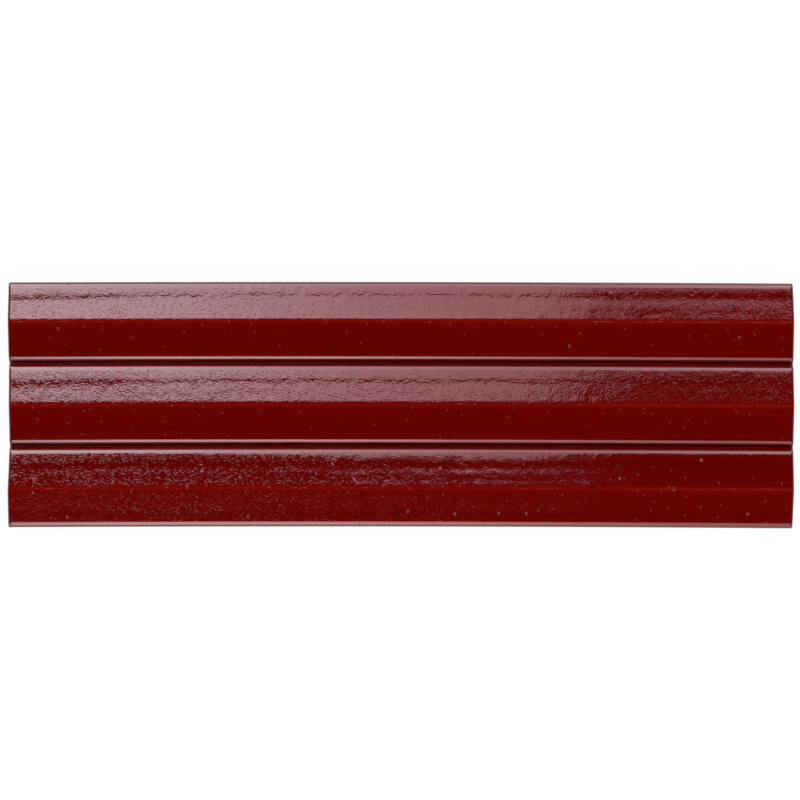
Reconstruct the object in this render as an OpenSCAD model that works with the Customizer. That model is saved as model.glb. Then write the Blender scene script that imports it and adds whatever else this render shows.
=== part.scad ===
// Fluted porcelain tile: one pressed, glazed and fired piece, lying on its back.
// X runs along the ribs, Y across them, and Z out of the glazed face.
// The origin is at the centre of the back.

/* [Face] */
// Length of the tile, along the ribs
tile_length = 203; // [80:1:400]
// Width of the tile, across the ribs
tile_width = 63.7; // [50:0.1:120]
// Number of ribs across the tile
rib_count = 3; // [1:1:4]
// Joint between two laid tiles that the spacing of the ribs allows for
joint_width = 1.2; // [0:0.1:3]

/* [Ribs] */
// Slope of the two facets of a rib, in degrees
facet_slope = 16; // [8:1:22]
// Radius of the arris along the top of a rib
arris_radius = 1; // [0.3:0.1:2]
// Radius of the shoulders at the foot of the facets
shoulder_radius = 1.8; // [0.8:0.1:2.4]

/* [Grooves] */
// Thickness of the tile under a groove
web_thickness = 5.85; // [5:0.05:12]
// Radius of the floor of a groove
groove_radius = 0.15; // [0.1:0.05:0.5]
// Slope of the walls of a groove, in degrees
groove_wall = 60; // [45:1:75]
// Length of a groove's wall between the two rounds, down its slope
wall_length = 0.98; // [0.2:0.02:1.2]

/* [Edges] */
// Radius of the eased edge across each end of the face
end_radius = 0.8; // [0.4:0.1:1.5]
// Chamfer of the four upright corners
corner_chamfer = 0.4; // [0.2:0.1:1]
// Chamfer around the edge of the back
back_chamfer = 0.6; // [0.3:0.1:1]

/* [Back] */
// Number of keying grooves under each rib
keys_per_rib = 2; // [1:1:2]
// Width of the bed of a keying groove
key_width = 4; // [1:0.5:5]
// Depth of a keying groove
key_depth = 0.6; // [0.2:0.1:1]
// Plain rim that the keying grooves leave at each end of the back
back_rim = 6; // [3:0.5:12]

/* [Hidden] */
$fn = 96;

pitch = (tile_width + joint_width) / rib_count;
end = tile_length / 2;
side = tile_width / 2;
last = rib_count - 1;
// Y of each rib's arris, and of the middle of each groove
arrises = [for (i = [0 : last]) (i - last / 2) * pitch];
grooves = [for (i = [1 : 1 : last]) arrises[i] - pitch / 2];

// A groove's wall runs from the round of a shoulder down to the round of the floor
round_span = shoulder_radius + groove_radius;
wall = wall_length * [cos(groove_wall), sin(groove_wall)];
shoulder_offset = round_span * sin(groove_wall) + wall.x;
floor_z = web_thickness + groove_radius;
// Height at which the planes of a rib's two facets meet
apex = floor_z - round_span * cos(groove_wall) + wall.y + shoulder_radius / cos(facet_slope)
    + (pitch / 2 - shoulder_offset) * tan(facet_slope);
arris_z = apex - arris_radius / cos(facet_slope);

// The envelope that eases the ends stands this much clear of the facets
clearance = 0.01;
// How far cutting shapes run past the tile
overrun = 5;

// Centre of the shoulder at the given distance from its rib's arris.
function shoulder(distance) =
    [distance, apex - distance * tan(facet_slope) - shoulder_radius / cos(facet_slope)];

// Point of a round where its face has the given slope.
function touch(centre, radius, slope) = centre + radius * [sin(slope), cos(slope)];

// A rib ends on the wall of a groove, or on the upright side of the tile
groove_shoulder = shoulder(pitch / 2 - shoulder_offset);
groove_foot = touch(groove_shoulder, shoulder_radius, groove_wall);
side_shoulder = shoulder(side - arrises[last] - shoulder_radius);
side_foot = side_shoulder + [shoulder_radius, 0];

// Half of a rib's section, from inside the body to the arris; foot is where it leaves the round.
module half_rib(centre, foot) {
    polygon([
        [-arris_radius, 0],
        [foot.x, 0],
        foot,
        touch(centre, shoulder_radius, facet_slope),
        touch([0, arris_z], arris_radius, facet_slope),
        [0, arris_z],
        [-arris_radius, web_thickness]
    ]);
    translate(centre) circle(shoulder_radius);
}

// Section of one rib, with a round along its arris.
module rib_section(left_side, right_side) {
    translate([0, arris_z]) circle(arris_radius);
    half_rib(
        right_side ? side_shoulder : groove_shoulder,
        right_side ? side_foot : groove_foot
    );
    mirror([1, 0]) half_rib(
        left_side ? side_shoulder : groove_shoulder,
        left_side ? side_foot : groove_foot
    );
}

// Section cut out for one groove, up to the feet of the shoulders on both sides of it.
module groove_section() {
    floor_edge = [groove_radius * sin(groove_wall), -groove_radius * cos(groove_wall)];
    rim = floor_edge + wall;
    translate([0, floor_z]) {
        circle(groove_radius);
        polygon([
            [-floor_edge.x, floor_edge.y],
            [floor_edge.x, floor_edge.y],
            rim,
            rim + [0, overrun],
            [-rim.x, rim.y + overrun],
            [-rim.x, rim.y]
        ]);
    }
}

// Section across the tile, from side to side.
module tile_section() {
    difference() {
        union() {
            for (i = [0 : last])
                translate([arrises[i], 0]) rib_section(i == 0, i == last);
            if (last > 0)
                translate([arrises[0], 0]) square([last * pitch, groove_foot.y]);
        }
        for (y = grooves) translate([y, 0]) groove_section();
    }
}

// Section along one facet, with a round at both ends.
module eased_section() {
    bend = end - end_radius;
    polygon([
        [-end, -2 * apex],
        [end, -2 * apex],
        [end, -end_radius],
        [bend, 0],
        [-bend, 0],
        [-end, -end_radius]
    ]);
    for (x = [-bend, bend]) translate([x, -end_radius]) circle(end_radius);
}

// Everything under the facet that falls towards +Y from an arris at Y = 0.
module under_facet() {
    intersection() {
        translate([0, 0, apex + clearance]) rotate([90 - facet_slope, 0, 0])
            linear_extrude(4 * pitch, center = true) eased_section();
        translate([-tile_length, 0, -overrun])
            cube([2 * tile_length, pitch / 2 + overrun, 2 * apex]);
    }
}

// Envelope of all the facets, which rounds the face over at both ends.
module eased_ends() {
    for (y = arrises) translate([0, y, 0]) {
        under_facet();
        mirror([0, 1, 0]) under_facet();
    }
}

// Bar that cuts a chamfer along an edge through the origin, along X.
module chamfer_bar(length, chamfer) {
    thickness = sqrt(2) * chamfer;
    rotate([45, 0, 0]) cube([length, thickness, thickness], center = true);
}

// One keying groove of the back, wider at its mouth.
module key_groove() {
    mouth = key_width / 2 + key_depth;
    bed = key_width / 2;
    rotate([90, 0, 90]) linear_extrude(tile_length - 2 * back_rim, center = true)
        polygon([
            [-mouth - key_depth, -key_depth],
            [mouth + key_depth, -key_depth],
            [bed, key_depth],
            [-bed, key_depth]
        ]);
}

module fluted_tile() {
    color([0.42, 0.03, 0.02]) difference() {
        intersection() {
            rotate([90, 0, 90])
                linear_extrude(tile_length + overrun, center = true) tile_section();
            eased_ends();
        }
        for (y = [-side, side])
            translate([0, y, 0]) chamfer_bar(tile_length + overrun, back_chamfer);
        for (x = [-end, end]) {
            translate([x, 0, 0]) rotate(90) chamfer_bar(tile_width + overrun, back_chamfer);
            for (y = [-side, side])
                translate([x, y, 0]) rotate([0, 90, 0]) chamfer_bar(4 * apex, corner_chamfer);
        }
        for (y = arrises, k = [0 : keys_per_rib - 1])
            translate([0, y + (k - (keys_per_rib - 1) / 2) * pitch / keys_per_rib, 0])
                key_groove();
    }
}

fluted_tile();
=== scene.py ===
import math

import bpy
from bpy.props import FloatProperty, FloatVectorProperty, IntProperty, PointerProperty
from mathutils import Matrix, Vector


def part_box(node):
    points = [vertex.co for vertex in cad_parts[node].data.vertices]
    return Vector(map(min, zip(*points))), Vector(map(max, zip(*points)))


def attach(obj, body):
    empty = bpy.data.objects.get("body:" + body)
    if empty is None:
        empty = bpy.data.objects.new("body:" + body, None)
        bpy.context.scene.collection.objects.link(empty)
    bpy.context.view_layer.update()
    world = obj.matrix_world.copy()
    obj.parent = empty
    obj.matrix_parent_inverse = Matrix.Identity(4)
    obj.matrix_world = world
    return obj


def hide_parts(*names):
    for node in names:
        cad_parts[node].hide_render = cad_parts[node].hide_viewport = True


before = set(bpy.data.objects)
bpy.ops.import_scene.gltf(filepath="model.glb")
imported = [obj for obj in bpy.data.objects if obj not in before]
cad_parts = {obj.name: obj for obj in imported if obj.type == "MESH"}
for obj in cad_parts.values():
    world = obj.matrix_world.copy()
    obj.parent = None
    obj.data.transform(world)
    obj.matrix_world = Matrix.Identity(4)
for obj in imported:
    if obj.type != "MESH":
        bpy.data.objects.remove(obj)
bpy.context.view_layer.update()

bl_info = {
    "name": "Fluted glazed tile",
    "version": (1, 0, 0),
    "blender": (4, 5, 0),
    "location": "3D View > Sidebar > Tile",
    "description": "Builds a fluted porcelain tile with a glossy red glaze, and a plain studio for it",
    "category": "Add Mesh",
}

MM = 0.001
NODE = "fluted_tile"
TILE_LOW, TILE_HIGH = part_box(NODE)

# Rows of the face mesh: from an arris down to the end of its facet, round the shoulder, and on to the
# middle of the groove or down the side
FACET_ROWS = 22
SHOULDER_ROWS = 10
WALL_ROWS = 2
FOOT_ROWS = 5
HALF_RIB_ROWS = FACET_ROWS + SHOULDER_ROWS + FOOT_ROWS
# Columns of the face mesh: along the tile, with a few round each eased end
END_COLUMNS = 7
LONG_COLUMNS = 366
# Steps that lead from the edge of the face down the sides and on to the back
RIM_STEPS = 6
# Rim step at which the glaze has ended, and rim step from which the sheet is shaded flat
BARE_STEP = 3.5
FLAT_STEP = 4.2
# How closely the rows of a facet crowd towards its arris and its foot, from 0 to 1
ROW_CROWDING = 0.75
# Points along each side of a keying groove's pan
PAN_POINTS = 4
# Y in millimetres that parts the middle rib from its neighbours
RIB_BORDER = 11.0
# How much farther from its arris a drag line lies, as a share of its Y on the ribs above the middle
LINE_DRIFT = 0.029
# Slope of one unit of lean of a facet
LEAN_UNIT = 0.0022


# Sizes and colours -------------------------------------------------------------------------------

def length_of(name, text, default):
    return FloatProperty(name=name, description=text, default=default, min=0, unit="LENGTH", precision=5)


def angle_of(name, text, degrees):
    return FloatProperty(name=name, description=text, default=math.radians(degrees), subtype="ANGLE")


def colour_of(name, text, default):
    return FloatVectorProperty(
        name=name, description=text, default=default, size=3, min=0, max=1, subtype="COLOR"
    )


class TileShape(bpy.types.PropertyGroup):
    """Sizes of the tile."""
    length: length_of("Length", "Length along the ribs", TILE_HIGH[0] - TILE_LOW[0])
    width: length_of("Width", "Width across the ribs", TILE_HIGH[1] - TILE_LOW[1])
    ribs: IntProperty(name="Ribs", description="Number of ribs", default=3, min=1, max=6)
    joint: length_of("Joint", "Joint between laid tiles that the rib spacing allows for", 1.2 * MM)
    facet_slope: angle_of("Facet slope", "Slope of the two facets of a rib", 16)
    arris_softness: length_of("Arris softness", "Reach of the soft bend along an arris", 0.34 * MM)
    shoulder_radius: length_of("Shoulder radius", "Radius at the foot of a facet", 1.8 * MM)
    web_thickness: length_of("Web thickness", "Thickness under a groove", 5.85 * MM)
    groove_radius: length_of("Groove radius", "Radius of the floor of a groove", 0.15 * MM)
    groove_wall: angle_of("Groove wall", "Slope of the walls of a groove", 60)
    wall_length: length_of("Wall length", "Straight part of the walls of a groove", 0.98 * MM)
    end_radius: length_of("End radius", "Radius of the eased edge across each end", 0.8 * MM)
    corner_radius: length_of("Corner radius", "Radius of the upright corners", 0.4 * MM)
    back_chamfer: length_of("Back chamfer", "Chamfer around the edge of the back", 0.6 * MM)
    glaze_line: length_of("Glaze line", "Height on the sides at which the glaze ends", 3.2 * MM)
    glaze_thickness: length_of("Glaze thickness", "Step where the glaze ends", 0.14 * MM)
    bow: length_of("Bow", "Sideways bow that the tile took on in firing", 0.3 * MM)
    end_bow: length_of("End bow", "How far the middle of one end lies in from its corners", 0.29 * MM)
    drag: angle_of("Drag line depth", "Change of slope at the long drag lines", 0.42)
    high_line: length_of("High drag line", "Distance from the arris of the fainter drag line", 2.7 * MM)
    low_line: length_of("Low drag line", "Distance from the arris of the deeper drag line", 5.9 * MM)
    keys_per_rib: IntProperty(name="Keys per rib", description="Keying grooves under a rib", default=2)
    key_width: length_of("Key width", "Width of the bed of a keying groove", 4 * MM)
    key_depth: length_of("Key depth", "Depth of a keying groove", 0.6 * MM)
    back_rim: length_of("Back rim", "Plain rim at each end of the back", 6 * MM)
    seed: IntProperty(name="Seed", description="Seed of the waviness of the glaze", default=7)


class TileFinish(bpy.types.PropertyGroup):
    """Colours and textures of the tile."""
    glaze: colour_of("Glaze", "Colour of the glaze on the facets", (0.113, 0.0008, 0.0001))
    # Paler colour of thin glaze on an arris, also used as painted light on the groove wall that faces +Y
    thin_glaze: colour_of("Thin and lit glaze", "Colour of thin glaze, on an arris", (0.165, 0.0028, 0.0006))
    thick_glaze: colour_of("Thick glaze", "Colour where the glaze lies thick", (0.0957, 0.0006, 0.0001))
    # Painted shade: the colour that darkens the groove wall that faces -Y
    pooled_glaze: colour_of("Painted groove shade", "Colour of the glaze in a groove", (0.046, 0.0004, 0.0001))
    iron: colour_of("Iron spots", "Colour of the iron spots under the glaze", (0.012, 0.003, 0.002))
    clay: colour_of("Clay", "Colour of the fired clay", (0.62, 0.55, 0.46))
    peel_height: length_of("Orange peel", "Height of the orange peel in the glaze", 0.0060 * MM)
    pit_depth: length_of("Pits", "Depth of the pits in the glaze", 0.05 * MM)
    scratch: angle_of("Scratch slope", "Change of slope at the fine line dragged along a facet", 1.6)
    scratch_place: length_of("Scratch place", "Distance of that fine line from the arris", 6.0 * MM)
    scratch_width: length_of("Scratch width", "Width of that fine line", 0.28 * MM)


class TileStudio(bpy.types.PropertyGroup):
    """Camera, lights and floor."""
    camera_height: length_of("Camera height", "Height of the camera over the face", 1.1)
    lens: FloatProperty(name="Lens", description="Focal length in millimetres", default=191.35)
    far_light: FloatProperty(name="Far light", description="Strength of the far soft light", default=7.6)
    near_light: FloatProperty(name="Near light", description="Strength of the near soft light", default=7.3)
    lamp: FloatProperty(name="Lamps", description="Strength of the lamps", default=2.5)
    light_distance: length_of("Light distance", "Distance of both soft lights from the tile", 1.5)
    floor: colour_of("Floor", "Colour of the floor", (0.9, 0.9, 0.9))


# Formulas in node trees --------------------------------------------------------------------------

class Value:
    """A socket of a node tree that takes part in a formula like a number."""

    def __init__(self, tree, socket):
        self.tree = tree
        self.socket = socket

    def __add__(self, other):
        return calc("ADD", self, other)

    __radd__ = __add__

    def __mul__(self, other):
        return calc("MULTIPLY", self, other)

    __rmul__ = __mul__

    def __sub__(self, other):
        return calc("SUBTRACT", self, other)

    def __rsub__(self, other):
        return calc("SUBTRACT", other, self)

    def __truediv__(self, other):
        return calc("DIVIDE", self, other)

    def __rtruediv__(self, other):
        return calc("DIVIDE", other, self)

    def __neg__(self):
        return calc("MULTIPLY", self, -1.0)


def feed(tree, socket, item):
    """Links a Value to a socket, or sets the socket to a plain number, colour or object."""
    if isinstance(item, Value):
        tree.links.new(item.socket, socket)
    elif item is not None:
        socket.default_value = item


def calc(operation, *items, clamp=False):
    tree = next(item.tree for item in items if isinstance(item, Value))
    node = tree.nodes.new("ShaderNodeMath")
    node.operation = operation
    node.use_clamp = clamp
    for socket, item in zip(node.inputs, items):
        feed(tree, socket, item)
    return Value(tree, node.outputs[0])


def sine(angle):
    return calc("SINE", angle)


def cosine(angle):
    return calc("COSINE", angle)


def tangent(angle):
    return calc("TANGENT", angle)


def larger(a, b):
    return calc("MAXIMUM", a, b)


def smaller(a, b):
    return calc("MINIMUM", a, b)


def above(a, b):
    return calc("GREATER_THAN", a, b)


def below(a, b):
    return calc("LESS_THAN", a, b)


def size_of(a):
    return calc("ABSOLUTE", a)


def sign_of(a):
    return calc("SIGN", a)


def unit(a):
    """A number held between 0 and 1."""
    return calc("ADD", a, 0.0, clamp=True)


def within(a, limit):
    """A number held between -limit and limit."""
    return larger(smaller(a, limit), -limit)


def between(factor, a, b):
    """a where factor is 0, b where it is 1."""
    return a + factor * (b - a) if isinstance(a, Value) else factor * (b - a) + a


def ramp(a, low, high):
    """Rises smoothly from 0 at low to 1 at high."""
    node = a.tree.nodes.new("ShaderNodeMapRange")
    node.interpolation_type = "SMOOTHSTEP"
    for name, item in (("Value", a), ("From Min", low), ("From Max", high)):
        feed(a.tree, node.inputs[name], item)
    return Value(a.tree, node.outputs["Result"])


def fall(a, low, high):
    return 1.0 - ramp(a, low, high)


def steps(a, values):
    """Runs straight from one of the values to the next as a goes from 0 up by whole numbers."""
    result = values[0]
    for i in range(1, len(values)):
        result = unit(a - (i - 1.0)) * (values[i] - values[i - 1]) + result
    return result


def vector(tree, x=0.0, y=0.0, z=0.0):
    node = tree.nodes.new("ShaderNodeCombineXYZ")
    for socket, item in zip(node.inputs, (x, y, z)):
        feed(tree, socket, item)
    return Value(tree, node.outputs[0])


def parts(value):
    node = value.tree.nodes.new("ShaderNodeSeparateXYZ")
    feed(value.tree, node.inputs[0], value)
    return [Value(value.tree, socket) for socket in node.outputs]


def noise(place, scale=1.0, detail=2.0, roughness=0.5):
    """Noise about 0, from -0.5 to 0.5."""
    node = place.tree.nodes.new("ShaderNodeTexNoise")
    for name, item in (("Vector", place), ("Scale", scale), ("Detail", detail), ("Roughness", roughness)):
        feed(place.tree, node.inputs[name], item)
    return Value(place.tree, node.outputs[0]) - 0.5


def geometry(tree, kind, output=0, settings=None, **inputs):
    """Adds a node to a geometry tree. An input's name has _ for a space."""
    node = tree.nodes.new(kind)
    for name, item in (settings or {}).items():
        setattr(node, name, item)
    for name, item in inputs.items():
        feed(tree, node.inputs[name.replace("_", " ")], item)
    return Value(tree, node.outputs[output])


def join(tree, *items):
    node = tree.nodes.new("GeometryNodeJoinGeometry")
    for item in items:
        tree.links.new(item.socket, node.inputs[0])
    return Value(tree, node.outputs[0])


# Glaze and clay ----------------------------------------------------------------------------------

def new_material(name):
    material = bpy.data.materials.new(name)
    material.use_nodes = True
    tree = material.node_tree
    shader = tree.nodes["Principled BSDF"]
    where = Value(tree, tree.nodes.new("ShaderNodeTexCoord").outputs["Object"])
    x, y, z = (part * (1 / MM) for part in parts(where))
    return material, tree, shader, x, y, z


def mixed(tree, factor, first, second):
    """Mixes two colours, each a Value or a plain colour."""
    node = tree.nodes.new("ShaderNodeMix")
    node.data_type = "RGBA"
    colours = [socket for socket in node.inputs if socket.type == "RGBA"]
    feed(tree, node.inputs[0], factor)
    for socket, item in zip(colours, (first, second)):
        feed(tree, socket, item if isinstance(item, Value) else (*item, 1.0))
    return Value(tree, next(socket for socket in node.outputs if socket.type == "RGBA"))


def spots(tree, x, y, spacing, share, offset):
    """Millimetres to the nearest of some scattered spots, and a random number that belongs to it."""
    node = tree.nodes.new("ShaderNodeTexVoronoi")
    node.voronoi_dimensions = "2D"
    feed(tree, node.inputs["Vector"], vector(tree, x + offset, y - offset))
    node.inputs["Scale"].default_value = 1 / spacing
    chance = parts(Value(tree, node.outputs["Color"]))
    kept = below(chance[0], share)
    distance = Value(tree, node.outputs["Distance"]) * spacing
    return distance + (1.0 - kept) * spacing, chance[1]


def stored(tree, name):
    """A number that the tile's tree has stored on its face."""
    node = tree.nodes.new("ShaderNodeAttribute")
    node.attribute_name = name
    return Value(tree, node.outputs["Fac"])


def bump(tree, shader, height, distance):
    node = tree.nodes.new("ShaderNodeBump")
    node.inputs["Strength"].default_value = 1.0
    node.inputs["Distance"].default_value = distance
    feed(tree, node.inputs["Height"], height)
    tree.links.new(node.outputs["Normal"], shader.inputs["Normal"])


def drag_line(tree, finish, x, y, distance, upper):
    """Height of the fine broken line dragged along every facet that falls towards +Y, and its trace."""
    wander = noise(vector(tree, x * 0.06, y * 0.05, 4.0), detail=3.0) * 1.2
    near_end = ramp(-x, 55.0, 95.0) * (above(y, RIB_BORDER) * 0.5 + 0.4)
    wander = wander + larger(y, 0.0) * LINE_DRIFT - near_end
    ragged = noise(vector(tree, x * 0.8, y * 1.3, 6.0), detail=1.0) * 2.2
    place = distance - finish.scratch_place / MM - wander
    strength = unit(noise(vector(tree, x * 0.3, y * 0.15, 8.0), detail=3.0) * 2.4 + 0.6) * upper
    width = finish.scratch_width / MM
    line = calc("TANH", (place + ragged) * (1 / width)) * strength * (finish.scratch_width * finish.scratch)
    return line, strength * fall(size_of(place), 0.2, 1.1)


def glaze_colour(tree, finish, x, y, z, distance, upper, cloud):
    """Paler on an arris, where the glaze is thin, and with painted light on the groove wall that faces +Y;
    darker along and below the drag lines, and with painted shade on the groove wall that faces -Y; with iron
    spots.
    """
    grain = noise(vector(tree, x, y, z), scale=1.6, detail=2.0)
    groove = ramp(distance, 9.7, 10.3)
    # Paler where the glaze is thin on an arris; in the groove, painted light on the wall that faces +Y
    thin_and_lit = larger(fall(distance, 0.0, 1.0), groove * upper) * 0.9
    streak = ramp(distance, 5.4, 6.2) * fall(distance, 7.0, 7.8) * 0.7
    foot = ramp(distance, 8.4, 9.0) * 0.8
    thick = unit(streak + foot + cloud * 0.5 + grain * 0.35)
    colour = mixed(tree, thick, finish.glaze, finish.thick_glaze)
    colour = mixed(tree, thin_and_lit, colour, finish.thin_glaze)
    # Painted shade: the groove wall that faces -Y is darkened towards this colour
    colour = mixed(tree, groove * (1.0 - upper), colour, finish.pooled_glaze)
    iron, strength = spots(tree, x, y, 24.0, 0.75, 3.0)
    iron = fall(iron + grain * 0.5, 0.15, 0.8) * (strength * 0.6 + 0.3)
    return mixed(tree, iron, colour, finish.iron)


def dents(tree, x, y, z, cloud, third):
    """Small dents, from 0 to 1: finer on the third rib, finest to the right, and denser to the left."""
    fine = larger(third * 0.2, ramp(x, 20.0, 45.0) * 0.5) + 1.0
    place = vector(tree, x * fine * 1.05, y * fine * 2.1 + x * 0.4, z + 3.0)
    dent = noise(place, detail=2.0, roughness=0.6)
    return unit(dent * 6.0 - 0.59 + ramp(-x, 0.0, 90.0) * 0.39 + cloud)


def dent_depth(x, y, distance, upper, third, trace):
    """How deep the dents are, in heights of the orange peel, on each rib and along its facets."""
    first_rib = upper * above(y, RIB_BORDER) * (1.1 - ramp(x, 20.0, 45.0) * 0.3)
    second_rib = upper * above(y, -RIB_BORDER) * below(y, RIB_BORDER) * (1.35 - ramp(x, 30.0, 52.0) * 0.95)
    third_rib = third * (upper * 0.34 + 0.38) * (1.0 - ramp(x, 38.0, 60.0) * 0.7)
    foot = upper * ramp(distance, 7.6, 8.8) * (1.0 - third) * 0.55
    return (first_rib + second_rib + third_rib) * (1.0 - foot - trace * 0.5)


def pits(tree, x, y, distance):
    """Pinholes, mostly near an arris, and the raised rings of small craters, mostly on the third rib."""
    hole, _ = spots(tree, x, y, 4.2, fall(distance, 2.5, 5.5) * 0.55 + 0.15, 11.0)
    crater, _ = spots(tree, x, y, 11.0, fall(y, -12.0, -8.0) * 0.5 + 0.06, 23.0)
    return fall(hole, 0.05, 0.2), fall(size_of(crater - 0.26), 0.0, 0.13)


def make_glaze(finish):
    """Glossy red glaze with orange peel, dents, a fine drag line, pinholes, craters and iron spots."""
    material, tree, shader, x, y, z = new_material("red_glaze")
    distance = stored(tree, "arris_distance")
    upper = above(stored(tree, "rib_side"), 0.0)
    third = below(y, -RIB_BORDER)
    cloud = noise(vector(tree, x * 0.12, y * 0.3, z), detail=3.0)
    colour = glaze_colour(tree, finish, x, y, z, distance, upper, cloud)
    tree.links.new(colour.socket, shader.inputs["Base Color"])

    place = vector(tree, x, y, z)
    fine_peel = noise(place, scale=2.4, detail=0.0) * (1.0 - third * 0.5)
    peel = fine_peel + noise(place, scale=0.6, detail=0.0)
    line, trace = drag_line(tree, finish, x, y, distance, upper)
    dent = dents(tree, x, y, z, cloud, third) * dent_depth(x, y, distance, upper, third, trace)
    hole, ring = pits(tree, x, y, distance)
    height = peel * (cloud * 1.2 + 1.0 + trace * 0.8) - dent
    height = height * finish.peel_height + line
    height = height - hole * (finish.pit_depth * 1.6) + ring * (finish.pit_depth * 0.5)
    bump(tree, shader, height * (1 / MM), MM)

    rough = noise(place, scale=0.4, detail=2.0) * 0.03 + 0.036
    tree.links.new(rough.socket, shader.inputs["Roughness"])
    shader.inputs["IOR"].default_value = 1.55
    shader.inputs["Specular Tint"].default_value = (1.0, 0.88, 0.92, 1.0)
    return material


def make_clay(finish):
    """Bare fired clay, fine and dull, with a few darker grains."""
    material, tree, shader, x, y, z = new_material("fired_clay")
    place = vector(tree, x, y, z)
    grain = noise(place, scale=5.0, detail=4.0, roughness=0.7)
    cloud = noise(place, scale=0.12, detail=3.0)
    dark = tuple(channel * 0.72 for channel in finish.clay)
    colour = mixed(tree, unit(grain * 1.2 + cloud * 0.8 + 0.3), finish.clay, dark)
    speck, _ = spots(tree, x, y + z, 3.0, 0.35, 5.0)
    colour = mixed(tree, fall(speck, 0.05, 0.14) * 0.7, colour, finish.iron)
    tree.links.new(colour.socket, shader.inputs["Base Color"])
    bump(tree, shader, grain, 0.04 * MM)
    tree.links.new((grain * 0.2 + 0.82).socket, shader.inputs["Roughness"])
    shader.inputs["IOR"].default_value = 1.45
    return material


# The tile ----------------------------------------------------------------------------------------

TREE_SIZES = (
    "length", "width", "joint", "facet_slope", "arris_softness", "shoulder_radius", "web_thickness",
    "groove_radius", "groove_wall", "wall_length", "end_radius", "corner_radius", "back_chamfer",
    "glaze_line", "glaze_thickness", "bow", "end_bow", "drag", "high_line", "low_line", "key_width",
    "key_depth", "back_rim",
)
TREE_COUNTS = ("ribs", "keys_per_rib", "seed")


class Sizes:
    """The tree's inputs as Values, by the names of TileShape."""


def new_tree():
    tree = bpy.data.node_groups.new("fluted_tile_shape", "GeometryNodeTree")
    for name in TREE_SIZES + TREE_COUNTS:
        kind = "NodeSocketInt" if name in TREE_COUNTS else "NodeSocketFloat"
        tree.interface.new_socket(name.replace("_", " ").capitalize(), in_out="INPUT", socket_type=kind)
    tree.interface.new_socket("Tile", in_out="OUTPUT", socket_type="NodeSocketGeometry")
    source = tree.nodes.new("NodeGroupInput")
    sizes = Sizes()
    for name, socket in zip(TREE_SIZES + TREE_COUNTS, source.outputs):
        setattr(sizes, name, Value(tree, socket))
    return tree, sizes


def section(tree, s, row):
    """The tile's section at a row: Y, Z, distance from the rib's arris, and side of the arris."""
    pitch = (s.width + s.joint) / s.ribs
    side = s.width * 0.5
    last = (s.ribs - 1.0) * 0.5 * pitch
    span = s.shoulder_radius + s.groove_radius
    wall_y = s.wall_length * cosine(s.groove_wall)
    wall_z = s.wall_length * sine(s.groove_wall)
    shoulder_offset = span * sine(s.groove_wall) + wall_y
    floor_z = s.web_thickness + s.groove_radius
    apex = floor_z + wall_z - span * cosine(s.groove_wall) + s.shoulder_radius / cosine(s.facet_slope)
    apex = apex + (pitch * 0.5 - shoulder_offset) * tangent(s.facet_slope)

    half = smaller(calc("FLOOR", row / HALF_RIB_ROWS), s.ribs * 2.0 - 1.0)
    local = row - half * HALF_RIB_ROWS
    falling = calc("MODULO", half, 2.0)
    facing = falling * 2.0 - 1.0
    local = between(falling, HALF_RIB_ROWS - local, local)
    arris = calc("FLOOR", half * 0.5) * pitch - last
    outer = larger(below(half, 0.5), above(half, s.ribs * 2.0 - 1.5))

    centre = between(outer, pitch * 0.5 - shoulder_offset, side - last - s.shoulder_radius)
    facet_end = centre + s.shoulder_radius * sine(s.facet_slope)
    steepest = between(outer, s.groove_wall, math.pi / 2)

    t = unit(local / FACET_ROWS)
    t = t - sine(t * (2 * math.pi)) * (ROW_CROWDING / (2 * math.pi))
    distance = facet_end * t
    u = distance / s.arris_softness
    bend = calc("LOGARITHM", calc("COSH", u) * 2.0, math.e)
    z = apex - tangent(s.facet_slope) * s.arris_softness * bend

    turn = s.facet_slope + unit((local - FACET_ROWS) / SHOULDER_ROWS) * (steepest - s.facet_slope)
    distance = distance + s.shoulder_radius * (sine(turn) - sine(s.facet_slope))
    z = z - s.shoulder_radius * (cosine(s.facet_slope) - cosine(turn))

    down = local - (FACET_ROWS + SHOULDER_ROWS)
    wall = unit(down / WALL_ROWS)
    floor_turn = s.groove_wall * (1.0 - unit((down - WALL_ROWS) / (FOOT_ROWS - WALL_ROWS)))
    inner = 1.0 - outer
    distance = distance + inner * wall * wall_y
    z = z - inner * wall * wall_z
    distance = distance + inner * s.groove_radius * (sine(s.groove_wall) - sine(floor_turn))
    z = z - inner * s.groove_radius * (cosine(floor_turn) - cosine(s.groove_wall))
    side_drop = 1.2 * MM
    z = z - outer * (down / FOOT_ROWS) * above(down, 0.0) * side_drop
    return arris + facing * distance, z, distance, facing, facet_end


def crease(distance, place, width):
    """Height of a bend that flattens the slope by one, over a width about a place on a facet."""
    return width * calc("TANH", (distance - place) / width)


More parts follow.
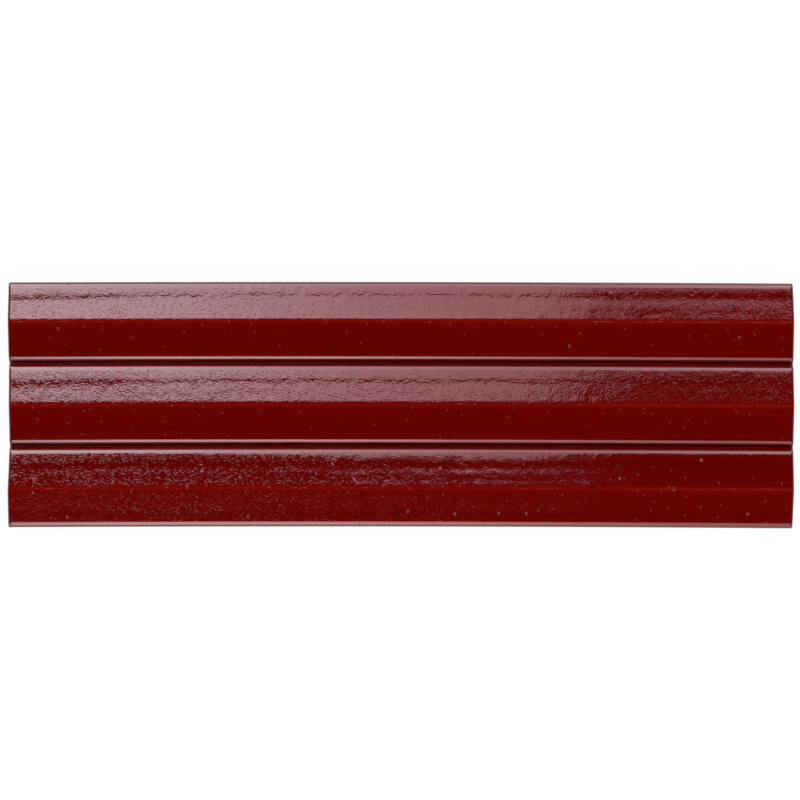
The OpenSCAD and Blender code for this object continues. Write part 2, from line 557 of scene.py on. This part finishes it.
def drag_creases(tree, s, x, y, distance, first, third, right):
    """Drag lines of the facets that fall towards +Y, as heights for a change of slope of one."""
    left = ramp(-x, 55 * MM, 95 * MM)
    drift = noise(vector(tree, x * 40.0, y * 15.0, s.seed), detail=2.0) * (1.6 * MM)
    drift = drift + larger(y, 0.0) * LINE_DRIFT
    drift = drift - left * (0.4 * MM) - ramp(-x, 82 * MM, 98 * MM) * (0.3 * MM)
    broken = noise(vector(tree, x * 130.0, y * 15.0, s.seed + 5.0), detail=2.0) * 1.5 + 1.0

    low = crease(distance, s.low_line + drift + third * (0.1 * MM), 0.8 * MM)
    strength = left * (2.8 - third * 1.4 - first * 0.3) + 0.7 + first * 0.7 + right * 0.8 + third * 2.3
    low = low * strength * broken
    high = crease(distance, s.high_line + drift + third * (0.2 * MM), 0.5 * MM + third * (0.15 * MM))
    high = high * (0.45 + third * 1.8)

    middle = crease(distance, 4.4 * MM, 0.6 * MM) * third * (ramp(x, -10 * MM, 30 * MM) * 0.35 + 0.45)
    soft = crease(distance, 7.4 * MM, 1.1 * MM) + crease(distance, 2.5 * MM, 1.1 * MM)
    edge = crease(distance, 7.7 * MM, 0.7 * MM) * third * fall(x, 0.0, 35 * MM) * 0.5
    return low + (high - middle) + soft * right * 1.2 + edge


def waviness(tree, s, x, y, distance, facing, facet_end):
    """How far the glaze rises and dips: drag lines along each facet, a soft foot, a lean, slow waves."""
    upper = (facing + 1.0) * 0.5
    first = above(y, RIB_BORDER * MM)
    third = below(y, -RIB_BORDER * MM)
    right = ramp(x, 34 * MM, 52 * MM) * first
    height = drag_creases(tree, s, x, y, distance, first, third, right) * s.drag * upper
    swell = crease(distance, 4.4 * MM, 1.5 * MM) * 0.25 - crease(distance, 7.3 * MM, 0.8 * MM) * 0.9
    height = height - swell * s.drag * (1.0 - upper)

    teeth = noise(vector(tree, x * 350.0, y * 30.0, s.seed + 7.0), detail=2.0) * (0.7 * MM)
    foot = larger(distance - facet_end + 0.6 * MM - first * (0.45 * MM) + teeth, 0.0)
    height = height - upper * foot * foot * (0.016 / MM)
    third_lean = fall(x, -75 * MM, 0.0) * 4.2 - 2.0 - ramp(x, 10 * MM, 40 * MM) * 0.3
    lean = right * 0.9 + third * third_lean
    height = height + lean * upper * distance * LEAN_UNIT
    slow = noise(vector(tree, x * 60.0, y * 90.0, s.seed + 2.0), detail=1.0) * (0.02 * MM)
    return (height + slow) * fall(distance, facet_end, facet_end + 0.6 * MM)


def face_shell(tree, s, glaze, clay):
    """The glazed face, the eased ends, the sides and the chamfer, as one sheet open at the back."""
    columns = 2 * (END_COLUMNS + RIM_STEPS) + LONG_COLUMNS
    row_count = s.ribs * (2.0 * HALF_RIB_ROWS) + (1.0 + 2 * RIM_STEPS)
    grid = geometry(
        tree, "GeometryNodeMeshGrid", Size_X=1.0, Size_Y=1.0, Vertices_X=columns, Vertices_Y=row_count
    )
    index = Value(tree, tree.nodes.new("GeometryNodeInputIndex").outputs[0])
    column = calc("FLOOR", (index + 0.5) / row_count)
    row = index - column * row_count

    last_column = columns - 1.0 - 2 * RIM_STEPS
    last_row = row_count - 1.0 - 2 * RIM_STEPS
    face_column = smaller(larger(column - RIM_STEPS, 0.0), last_column)
    face_row = smaller(larger(row - RIM_STEPS, 0.0), last_row)
    column_step = size_of(column - RIM_STEPS - face_column)
    row_step = size_of(row - RIM_STEPS - face_row)
    step = larger(column_step, row_step)

    half_length = s.length * 0.5
    bend = half_length - s.end_radius
    left = unit((END_COLUMNS - face_column) / END_COLUMNS) * (math.pi / 2)
    right = unit((face_column - last_column + END_COLUMNS) / END_COLUMNS) * (math.pi / 2)
    spacing = bend * 2.0 / (last_column - 2.0 * END_COLUMNS)
    x = within((face_column - END_COLUMNS) * spacing - bend, bend)
    x = x + s.end_radius * (sine(right) - sine(left))
    drop = s.end_radius * (1.0 - cosine(left + right)) / cosine(s.facet_slope)

    y, z, distance, facing, facet_end = section(tree, s, face_row)
    z = z - drop + waviness(tree, s, x, y, distance, facing, facet_end)

    ragged = noise(vector(tree, x * 120.0, y * 120.0, s.seed + 9.0), detail=3.0) * (1.6 * MM)
    line = s.glaze_line + ragged
    thick = s.glaze_thickness
    z = steps(step, [z, line + 0.25 * MM, line + 0.05 * MM, line, line - 0.2 * MM, s.back_chamfer, 0.0])
    inset = steps(step, [0.0, 0.0, thick * 0.3, thick * 0.9, thick, thick, s.back_chamfer])
    x = within(x, half_length - inset)
    y = within(y, s.width * 0.5 - inset)

    over_x = larger(size_of(x) - (half_length - inset - s.corner_radius), 0.0)
    over_y = larger(size_of(y) - (s.width * 0.5 - inset - s.corner_radius), 0.0)
    reach = calc("SQRT", over_x * over_x + over_y * over_y)
    keep = smaller(s.corner_radius / larger(reach, 0.001 * MM), 1.0)
    x = x - sign_of(x) * over_x * (1.0 - keep)
    y = y - sign_of(y) * over_y * (1.0 - keep)

    shell = geometry(tree, "GeometryNodeSetPosition", Geometry=grid, Position=vector(tree, x, y, z))
    kind = {"domain": "POINT", "data_type": "FLOAT"}
    numbers = {"arris_distance": distance * (1 / MM), "rib_side": facing, "rim_step": step}
    for name, number in numbers.items():
        shell = geometry(
            tree, "GeometryNodeStoreNamedAttribute", settings=kind,
            Geometry=shell, Name=name, Value=number,
        )
    rim = geometry(tree, "GeometryNodeInputNamedAttribute", settings={"data_type": "FLOAT"}, Name="rim_step")
    shell = geometry(tree, "GeometryNodeSetShadeSmooth", Geometry=shell, Selection=below(rim, FLAT_STEP))
    shell = geometry(tree, "GeometryNodeSetMaterial", Geometry=shell, Material=glaze)
    return geometry(
        tree, "GeometryNodeSetMaterial", Geometry=shell, Selection=above(rim, BARE_STEP), Material=clay
    )


def key_pans(tree, s):
    """The keying grooves of the back, as shallow open pans."""
    pitch = (s.width + s.joint) / s.ribs
    count = s.ribs * s.keys_per_rib
    pan = geometry(
        tree, "GeometryNodeMeshGrid", Size_X=1.0, Size_Y=1.0, Vertices_X=PAN_POINTS, Vertices_Y=PAN_POINTS
    )
    index = Value(tree, tree.nodes.new("GeometryNodeInputIndex").outputs[0])
    column = calc("FLOOR", (index + 0.5) / PAN_POINTS)
    row = index - column * PAN_POINTS
    column = column - (PAN_POINTS - 1) / 2
    row = row - (PAN_POINTS - 1) / 2
    bed = below(size_of(column), 1.0) * below(size_of(row), 1.0)
    half_x = s.length * 0.5 - s.back_rim - bed * s.key_depth
    half_y = s.key_width * 0.5 + (1.0 - bed) * s.key_depth
    place = vector(tree, sign_of(column) * half_x, sign_of(row) * half_y, bed * s.key_depth)
    pan = geometry(tree, "GeometryNodeSetPosition", Geometry=pan, Position=place)
    gap = pitch / s.keys_per_rib
    line = geometry(
        tree, "GeometryNodeMeshLine", Count=count, Offset=vector(tree, 0.0, gap, 0.0),
        Start_Location=vector(tree, 0.0, (count - 1.0) * gap * -0.5, 0.0),
    )
    pans = geometry(tree, "GeometryNodeInstanceOnPoints", Points=line, Instance=pan)
    pans = geometry(tree, "GeometryNodeRealizeInstances", Geometry=pans)
    return geometry(tree, "GeometryNodeFlipFaces", Mesh=pans)


def welded(tree, item):
    return geometry(tree, "GeometryNodeMergeByDistance", Geometry=item, Distance=0.002 * MM)


def fired(s, x, y):
    """Where firing takes X and Y: the tile bows sideways, and its ends are no longer straight."""
    last = s.length * 0.5
    along = x / last
    arch = 1.0 - along * along
    squeeze = 1.0 - s.bow / s.width - arch * 0.0012
    across = y / (s.width * 0.5)
    across = across * across
    dip = y / (s.width * 0.29) + 0.27
    dip = larger(1.0 - dip * dip, 0.0)
    reach = 20 * MM
    x = x + ramp(-x, last - reach, last) * dip * s.end_bow
    x = x - ramp(x, last - reach, last) * across * across * (s.end_bow * 0.85)
    return x, y * squeeze + s.bow * (arch - 0.5)


def tile_tree(glaze, clay):
    tree, s = new_tree()
    shell = welded(tree, face_shell(tree, s, glaze, clay))
    pans = welded(tree, key_pans(tree, s))
    open_mesh = join(tree, shell, pans)
    faces = geometry(tree, "GeometryNodeInputMeshEdgeNeighbors")
    rims = geometry(tree, "GeometryNodeMeshToCurve", Mesh=open_mesh, Selection=below(faces, 1.5))
    back = geometry(tree, "GeometryNodeFillCurve", Curve=rims)
    back = geometry(tree, "GeometryNodeFlipFaces", Mesh=back)
    under = join(tree, pans, back)
    under = geometry(tree, "GeometryNodeSetShadeSmooth", Geometry=under, Shade_Smooth=False)
    under = geometry(tree, "GeometryNodeSetMaterial", Geometry=under, Material=clay)
    tile = welded(tree, join(tree, shell, under))

    place = Value(tree, tree.nodes.new("GeometryNodeInputPosition").outputs[0])
    x, y, z = parts(place)
    x, y = fired(s, x, y)
    tile = geometry(tree, "GeometryNodeSetPosition", Geometry=tile, Position=vector(tree, x, y, z))
    tile = geometry(tree, "GeometryNodeRealizeInstances", Geometry=tile)
    result = tree.nodes.new("NodeGroupOutput")
    tree.links.new(tile.socket, result.inputs[0])
    return tree


def plain_mesh(tree, shape, name):
    """Runs the tree with the sizes of the tile, and keeps what it makes as a plain mesh."""
    source = bpy.data.objects.new("tile_source", bpy.data.meshes.new("tile_source"))
    bpy.context.scene.collection.objects.link(source)
    modifier = source.modifiers.new("Tile", "NODES")
    modifier.node_group = tree
    for item in tree.interface.items_tree:
        field = item.name.lower().replace(" ", "_")
        if item.in_out == "INPUT":
            modifier[item.identifier] = getattr(shape, field)
    graph = bpy.context.evaluated_depsgraph_get()
    mesh = bpy.data.meshes.new_from_object(source.evaluated_get(graph), depsgraph=graph)
    bpy.data.objects.remove(source)
    mesh.name = name
    return mesh


class TILE_OT_glazed_tile(bpy.types.Operator):
    """Build the glazed tile in place of its plain solid"""
    bl_idname = "tile.glazed_tile"
    bl_label = "Glazed tile"

    def execute(self, context):
        finish = context.scene.tile_finish
        glaze, clay = make_glaze(finish), make_clay(finish)
        mesh = plain_mesh(tile_tree(glaze, clay), context.scene.tile_shape, "glazed_tile")
        if len(mesh.polygons) < 1000:
            raise RuntimeError("the tile's mesh is empty")
        tile = bpy.data.objects.new("glazed_tile", mesh)
        context.scene.collection.objects.link(tile)
        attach(tile, "root")
        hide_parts(NODE)
        return {"FINISHED"}


# The studio --------------------------------------------------------------------------------------

def sheet(name, corners, material):
    mesh = bpy.data.meshes.new(name)
    mesh.from_pydata(corners, [], [tuple(range(len(corners)))])
    mesh.materials.append(material)
    item = bpy.data.objects.new(name, mesh)
    bpy.context.scene.collection.objects.link(item)
    return item


def plain_material(name):
    material = bpy.data.materials.new(name)
    material.use_nodes = True
    material.node_tree.nodes.clear()
    return material, material.node_tree


def floor_material(colour):
    """Pale floor that looks white to the camera and in reflections, and still takes the tile's shadow."""
    material, tree = plain_material("studio_floor")
    add = tree.nodes.new
    path = add("ShaderNodeLightPath")
    seen = Value(tree, path.outputs["Is Camera Ray"]) + Value(tree, path.outputs["Is Glossy Ray"])
    seen = unit(seen + Value(tree, path.outputs["Is Transmission Ray"]))
    white = add("ShaderNodeEmission")
    plain = add("ShaderNodeBsdfDiffuse")
    plain.inputs["Color"].default_value = (*colour, 1.0)
    mix = add("ShaderNodeMixShader")
    feed(tree, mix.inputs[0], seen * 0.88)
    tree.links.new(plain.outputs[0], mix.inputs[1])
    tree.links.new(white.outputs[0], mix.inputs[2])
    out = add("ShaderNodeOutputMaterial")
    tree.links.new(mix.outputs[0], out.inputs["Surface"])
    return material


def light_material(name, levels, left_colour, right_colour, fading):
    """Soft light whose strength and colour change smoothly along X, with slow unevenness.

    levels: (x, strength) in order. fading: two heights between which it fades upwards, and by how much.
    Its part at the right of the middle and above 2 metres is dimmed by up to a half.
    """
    material, tree = plain_material(name)
    add = tree.nodes.new
    x, y, z = parts(Value(tree, add("ShaderNodeTexCoord").outputs["Object"]))
    level = levels[0][1]
    for (x_a, strength_a), (x_b, strength_b) in zip(levels, levels[1:]):
        level = ramp(x, x_a, x_b) * (strength_b - strength_a) + level
    glow = add("ShaderNodeEmission")
    tree.links.new(mixed(tree, ramp(x, -0.3, 0.1), left_colour, right_colour).socket, glow.inputs["Color"])
    low, high, loss = fading
    level = level * (1.0 - ramp(z, low, high) * loss)
    dimmed = ramp(x, 0.13, 0.2) * ramp(z, 2.0, 2.2)
    level = level * (1.0 - dimmed * 0.5)
    level = level * (noise(vector(tree, x * 3.0, 0.0, z * 18.0), detail=1.0) * 0.34 + 1.0)
    feed(tree, glow.inputs["Strength"], level)
    out = add("ShaderNodeOutputMaterial")
    tree.links.new(glow.outputs[0], out.inputs["Surface"])
    return material


COOL_LIGHT = (1.0, 0.945, 1.0)
MILD_LIGHT = (1.0, 0.76, 0.82)
WARM_LIGHT = (1.0, 0.88, 0.87)
RED_LIGHT = (1.0, 0.60, 0.58)
# Strength of the overhead lamp against that of the two at the sides
OVERHEAD_SHARE = 0.806


def soft_lamp(name, level, wide, high, place, turn):
    """Soft light that falls on the tile, and that the glaze doesn't mirror."""
    light = bpy.data.lights.new(name, "AREA")
    light.shape = "RECTANGLE"
    light.size = wide
    light.size_y = high
    light.energy = level * math.pi * wide * high
    lamp = bpy.data.objects.new(name, light)
    lamp.location = place
    lamp.rotation_euler = (turn, 0.0, 0.0)
    lamp.visible_camera = False
    lamp.visible_glossy = False
    bpy.context.scene.collection.objects.link(lamp)


def make_lamps(studio):
    """Plain soft light from overhead and from both long sides."""
    reach = studio.light_distance
    soft_lamp("overhead_lamp", studio.lamp * OVERHEAD_SHARE, 3.0, 3.0, (0.0, 0.0, 2.3), 0.0)
    soft_lamp("far_lamp", studio.lamp, 2.7, 2.4, (0.0, reach, 1.2), math.pi * -0.5)
    soft_lamp("near_lamp", studio.lamp, 2.7, 2.4, (0.0, -reach, 1.2), math.pi * 0.5)


def scaled(bright, shares):
    """Levels for light_material from (x, share of the brightness)."""
    return [(x, bright * share) for x, share in shares]


def upright(reach, corners):
    """Corners of an upright panel at Y = reach from (x, z)."""
    return [(x, reach, z) for x, z in corners]


def make_lights(studio):
    """Panels that the glaze mirrors, one beyond each long side, with little overhead."""
    reach = studio.light_distance
    far = light_material("far_soft_light", scaled(studio.far_light, (
        (-1.2, 0.75), (-0.9, 1.18), (-0.34, 1.18), (-0.19, 0.98), (-0.04, 0.7), (0.13, 0.53), (0.28, 0.72),
    )), COOL_LIGHT, MILD_LIGHT, (1.7, 2.45, 0.26))
    near = light_material("near_soft_light", scaled(studio.near_light, (
        (-0.35, 0.6), (-0.16, 1.0), (-0.08, 1.0), (0.2, 0.5),
    )), WARM_LIGHT, RED_LIGHT, (1.6, 2.2, 0.6))
    top = light_material("top_glimmer", [(0.15, 0.0), (0.3, 0.9)], WARM_LIGHT, WARM_LIGHT, (0.0, 9.0, 0.0))
    far_corners = upright(reach, (
        (-1.7, 0.0), (1.0, 0.0), (1.0, 2.26), (0.3, 2.29), (0.18, 2.31), (0.14, 2.46), (0.0, 2.465),
        (-0.3, 2.43), (-1.7, 2.43),
    ))
    near_corners = upright(-reach, (
        (-1.0, 0.0), (-1.0, 2.08), (-0.1, 2.095), (0.1, 2.105), (1.0, 2.09), (1.0, 0.0),
    ))
    top_corners = [(0.1, -0.15, 2.3), (0.1, 0.15, 2.3), (0.7, 0.15, 2.3), (0.7, -0.15, 2.3)]
    for name, corners, material in (
        ("far_light_panel", far_corners, far), ("near_light_panel", near_corners, near),
        ("top_light_panel", top_corners, top),
    ):
        panel = sheet(name, corners, material)
        panel.visible_camera = False
        panel.visible_diffuse = False


def make_world():
    world = bpy.data.worlds.new("dark_studio")
    world.use_nodes = True
    back = world.node_tree.nodes["Background"]
    back.inputs["Color"].default_value = (0.004, 0.004, 0.004, 1.0)
    bpy.context.scene.world = world


def make_camera(studio):
    data = bpy.data.cameras.new("camera")
    data.sensor_width = 36.0
    data.lens = studio.lens
    data.clip_end = 50.0
    camera = bpy.data.objects.new("camera", data)
    face_height = 6.2 * MM
    off_centre = (-0.26 * MM, 1.25 * MM)
    turn = math.radians(0.087)
    camera.location = (*off_centre, studio.camera_height + face_height)
    camera.rotation_euler = (0.0, 0.0, turn)
    bpy.context.scene.collection.objects.link(camera)
    bpy.context.scene.camera = camera


def make_floor(studio):
    """A wide floor just below the tile, with an upright backdrop along each of its sides."""
    half = 6.0
    top = half * 0.3
    level = -0.05 * MM
    corners = [(-half, -half, level), (half, -half, level), (half, half, level), (-half, half, level)]
    pale = floor_material(studio.floor)
    sheet("studio_floor", corners, pale)
    for i, first in enumerate(corners):
        second = corners[(i + 1) % 4]
        sheet(f"backdrop_{i + 1}", [second, first, (*first[:2], top), (*second[:2], top)], pale)


class TILE_OT_studio(bpy.types.Operator):
    """Build the floor, the soft lights and the camera"""
    bl_idname = "tile.studio"
    bl_label = "Studio"

    def execute(self, context):
        studio = context.scene.tile_studio
        make_floor(studio)
        make_lamps(studio)
        make_lights(studio)
        make_world()
        make_camera(studio)
        context.scene.view_settings.view_transform = "Standard"
        return {"FINISHED"}


# Add-on ------------------------------------------------------------------------------------------

class TILE_PT_sidebar(bpy.types.Panel):
    """Builds the tile and its studio"""
    bl_label = "Fluted tile"
    bl_idname = "TILE_PT_sidebar"
    bl_space_type = "VIEW_3D"
    bl_region_type = "UI"
    bl_category = "Tile"

    def draw(self, context):
        for group in (context.scene.tile_shape, context.scene.tile_finish, context.scene.tile_studio):
            box = self.layout.box()
            for name in group.__annotations__:
                box.prop(group, name)
        self.layout.operator(TILE_OT_glazed_tile.bl_idname)
        self.layout.operator(TILE_OT_studio.bl_idname)


GROUPS = {"tile_shape": TileShape, "tile_finish": TileFinish, "tile_studio": TileStudio}
CLASSES = (*GROUPS.values(), TILE_OT_glazed_tile, TILE_OT_studio, TILE_PT_sidebar)


def register():
    for item in CLASSES:
        bpy.utils.register_class(item)
    for name, group in GROUPS.items():
        setattr(bpy.types.Scene, name, PointerProperty(type=group))


def unregister():
    for name in GROUPS:
        delattr(bpy.types.Scene, name)
    for item in reversed(CLASSES):
        bpy.utils.unregister_class(item)


def main():
    register()
    bpy.ops.tile.studio()
    bpy.ops.tile.glazed_tile()


if __name__ == "__main__":
    main()
